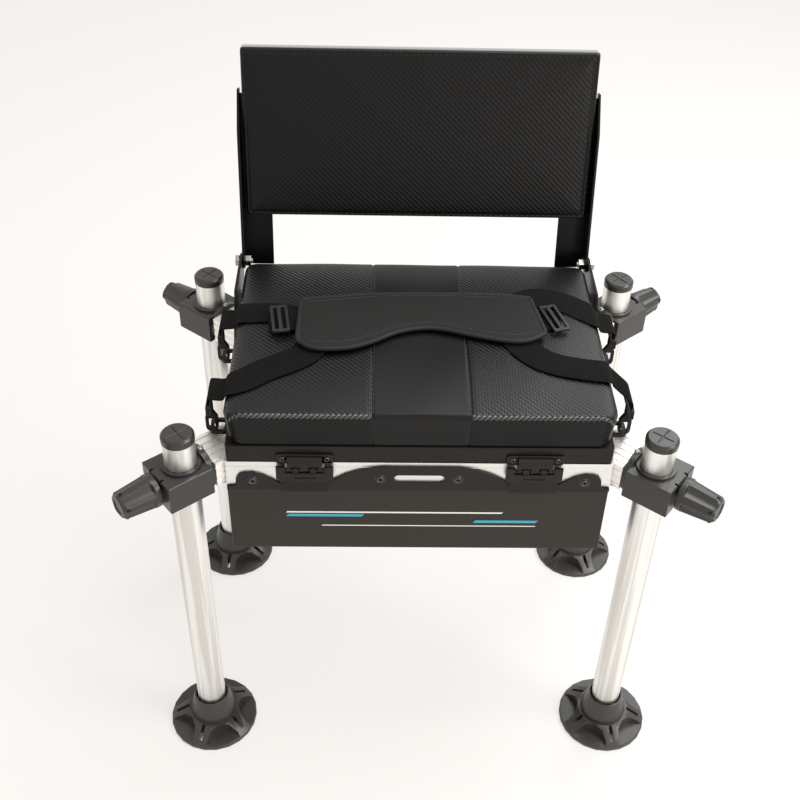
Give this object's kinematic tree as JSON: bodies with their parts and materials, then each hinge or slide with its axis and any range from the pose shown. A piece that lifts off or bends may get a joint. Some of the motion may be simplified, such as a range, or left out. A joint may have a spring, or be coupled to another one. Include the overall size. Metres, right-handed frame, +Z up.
{
  "type": "fishing seat box",
  "caption": "Match fishing seat box with a padded lid, a folding padded backrest, a tackle box in an aluminium rail frame, adjustable legs on swivel mud feet, and a carrying strap.",
  "frame": {"origin": "on the ground, under the middle of the whole outline", "axes": "+X to the right as seen from the front, +Y towards the backrest, +Z up"},
  "size_m": [0.664, 0.4396, 0.7867],
  "materials": {
    "leg_aluminium": "bright anodised, fluted extrusion",
    "rail_aluminium": "satin anodised",
    "moulded_black": "fine moulded grain",
    "foot_rubber": "matt moulded",
    "coated_black": "satin powder coat",
    "panel_black": "semi-gloss",
    "seat_vinyl": "embossed vinyl with a twill rib",
    "strap_webbing": "woven webbing",
    "strap_pad_fabric": "bound neoprene pad",
    "zinc_steel": "bright zinc plate"
  },
  "bodies": {
    "frame": {"front_rail": "rail_aluminium", "rear_rail": "rail_aluminium", "right_rail": "rail_aluminium", "left_rail": "rail_aluminium", "box_body": "moulded_black", "front_panel": "panel_black", "front_plate": "coated_black", "clamp_block_front_left": "moulded_black", "clamp_block_front_right": "moulded_black", "clamp_block_rear_left": "moulded_black", "clamp_block_rear_right": "moulded_black", "corner_arm_front_left": "rail_aluminium", "corner_arm_front_right": "rail_aluminium", "corner_arm_rear_left": "rail_aluminium", "corner_arm_rear_right": "rail_aluminium", "hinge_frame_leaf": "zinc_steel", "hinge_pin": "zinc_steel"},
    "seat_top": {"lid_base": "moulded_black", "seat_cushion": "seat_vinyl", "latch_plate_left": "coated_black", "latch_plate_right": "coated_black", "backrest_bracket_left": "coated_black", "backrest_bracket_right": "coated_black", "backrest_bolt_left": "zinc_steel", "backrest_bolt_right": "zinc_steel", "hinge_lid_leaf": "zinc_steel", "shoulder_pad": "strap_pad_fabric", "strap_webbing_left": "strap_webbing", "strap_webbing_right": "strap_webbing", "strap_buckle_left": "coated_black", "strap_buckle_right": "coated_black", "strap_hook_rear_left": "coated_black", "strap_hook_rear_right": "coated_black", "strap_hook_front_left": "coated_black", "strap_hook_front_right": "coated_black"},
    "backrest": {"backrest_plate_left": "coated_black", "backrest_plate_right": "coated_black", "backrest_pad": "seat_vinyl"},
    "latch_left": {"latch_lever_left": "coated_black"},
    "latch_right": {"latch_lever_right": "coated_black"},
    "leg_front_left": {"leg_tube_front_left": "leg_aluminium", "leg_cap_front_left": "moulded_black", "foot_ball_front_left": "moulded_black"},
    "foot_front_left": {"mud_foot_front_left": "foot_rubber"},
    "knob_front_left": {"clamp_knob_front_left": "moulded_black"},
    "leg_front_right": {"leg_tube_front_right": "leg_aluminium", "leg_cap_front_right": "moulded_black", "foot_ball_front_right": "moulded_black"},
    "foot_front_right": {"mud_foot_front_right": "foot_rubber"},
    "knob_front_right": {"clamp_knob_front_right": "moulded_black"},
    "leg_rear_left": {"leg_tube_rear_left": "leg_aluminium", "leg_cap_rear_left": "moulded_black", "foot_ball_rear_left": "moulded_black"},
    "foot_rear_left": {"mud_foot_rear_left": "foot_rubber"},
    "knob_rear_left": {"clamp_knob_rear_left": "moulded_black"},
    "leg_rear_right": {"leg_tube_rear_right": "leg_aluminium", "leg_cap_rear_right": "moulded_black", "foot_ball_rear_right": "moulded_black"},
    "foot_rear_right": {"mud_foot_rear_right": "foot_rubber"},
    "knob_rear_right": {"clamp_knob_rear_right": "moulded_black"}
  },
  "joints": [
    {"name": "seat_lid_hinge", "type": "hinge", "parent": "frame", "child": "seat_top", "pos_m": [0, 0.14471, 0.46675], "axis": [-1, 0, 0], "range_deg": [0, 95]},
    {"name": "backrest_fold", "type": "hinge", "parent": "seat_top", "child": "backrest", "pos_m": [0, 0.14611, 0.528], "axis": [1, 0, 0], "range_deg": [0, 78]},
    {"name": "latch_left_flip", "type": "hinge", "parent": "seat_top", "child": "latch_left", "pos_m": [-0.1265, -0.16379, 0.461], "axis": [-1, 0, 0], "range_deg": [0, 100]},
    {"name": "latch_right_flip", "type": "hinge", "parent": "seat_top", "child": "latch_right", "pos_m": [0.1265, -0.16379, 0.461], "axis": [-1, 0, 0], "range_deg": [0, 100]},
    {"name": "leg_front_left_slide", "type": "slide", "parent": "frame", "child": "leg_front_left", "axis": [0, 0, 1], "range_m": [-0.028, 0.28]},
    {"name": "foot_front_left_tilt", "type": "hinge", "parent": "leg_front_left", "child": "foot_front_left", "pos_m": [-0.2614, -0.1599, 0.038], "axis": [1, 0, 0], "range_deg": [-6, 6]},
    {"name": "knob_front_left_turn", "type": "hinge", "parent": "frame", "child": "knob_front_left", "pos_m": [-0.2614, -0.1599, 0.447], "axis": [-0.7826, -0.6225, 0], "range_deg": [0, 360]},
    {"name": "leg_front_right_slide", "type": "slide", "parent": "frame", "child": "leg_front_right", "axis": [0, 0, 1], "range_m": [-0.028, 0.28]},
    {"name": "foot_front_right_tilt", "type": "hinge", "parent": "leg_front_right", "child": "foot_front_right", "pos_m": [0.2614, -0.1599, 0.038], "axis": [1, 0, 0], "range_deg": [-6, 6]},
    {"name": "knob_front_right_turn", "type": "hinge", "parent": "frame", "child": "knob_front_right", "pos_m": [0.2614, -0.1599, 0.447], "axis": [0.7826, -0.6225, 0], "range_deg": [0, 360]},
    {"name": "leg_rear_left_slide", "type": "slide", "parent": "frame", "child": "leg_rear_left", "axis": [0, 0, 1], "range_m": [-0.028, 0.28]},
    {"name": "foot_rear_left_tilt", "type": "hinge", "parent": "leg_rear_left", "child": "foot_rear_left", "pos_m": [-0.2614, 0.14211, 0.038], "axis": [1, 0, 0], "range_deg": [-6, 6]},
    {"name": "knob_rear_left_turn", "type": "hinge", "parent": "frame", "child": "knob_rear_left", "pos_m": [-0.2614, 0.14211, 0.447], "axis": [-0.7826, 0.6225, 0], "range_deg": [0, 360]},
    {"name": "leg_rear_right_slide", "type": "slide", "parent": "frame", "child": "leg_rear_right", "axis": [0, 0, 1], "range_m": [-0.028, 0.28]},
    {"name": "foot_rear_right_tilt", "type": "hinge", "parent": "leg_rear_right", "child": "foot_rear_right", "pos_m": [0.2614, 0.14211, 0.038], "axis": [1, 0, 0], "range_deg": [-6, 6]},
    {"name": "knob_rear_right_turn", "type": "hinge", "parent": "frame", "child": "knob_rear_right", "pos_m": [0.2614, 0.14211, 0.447], "axis": [0.7826, 0.6225, 0], "range_deg": [0, 360]}
  ]
}
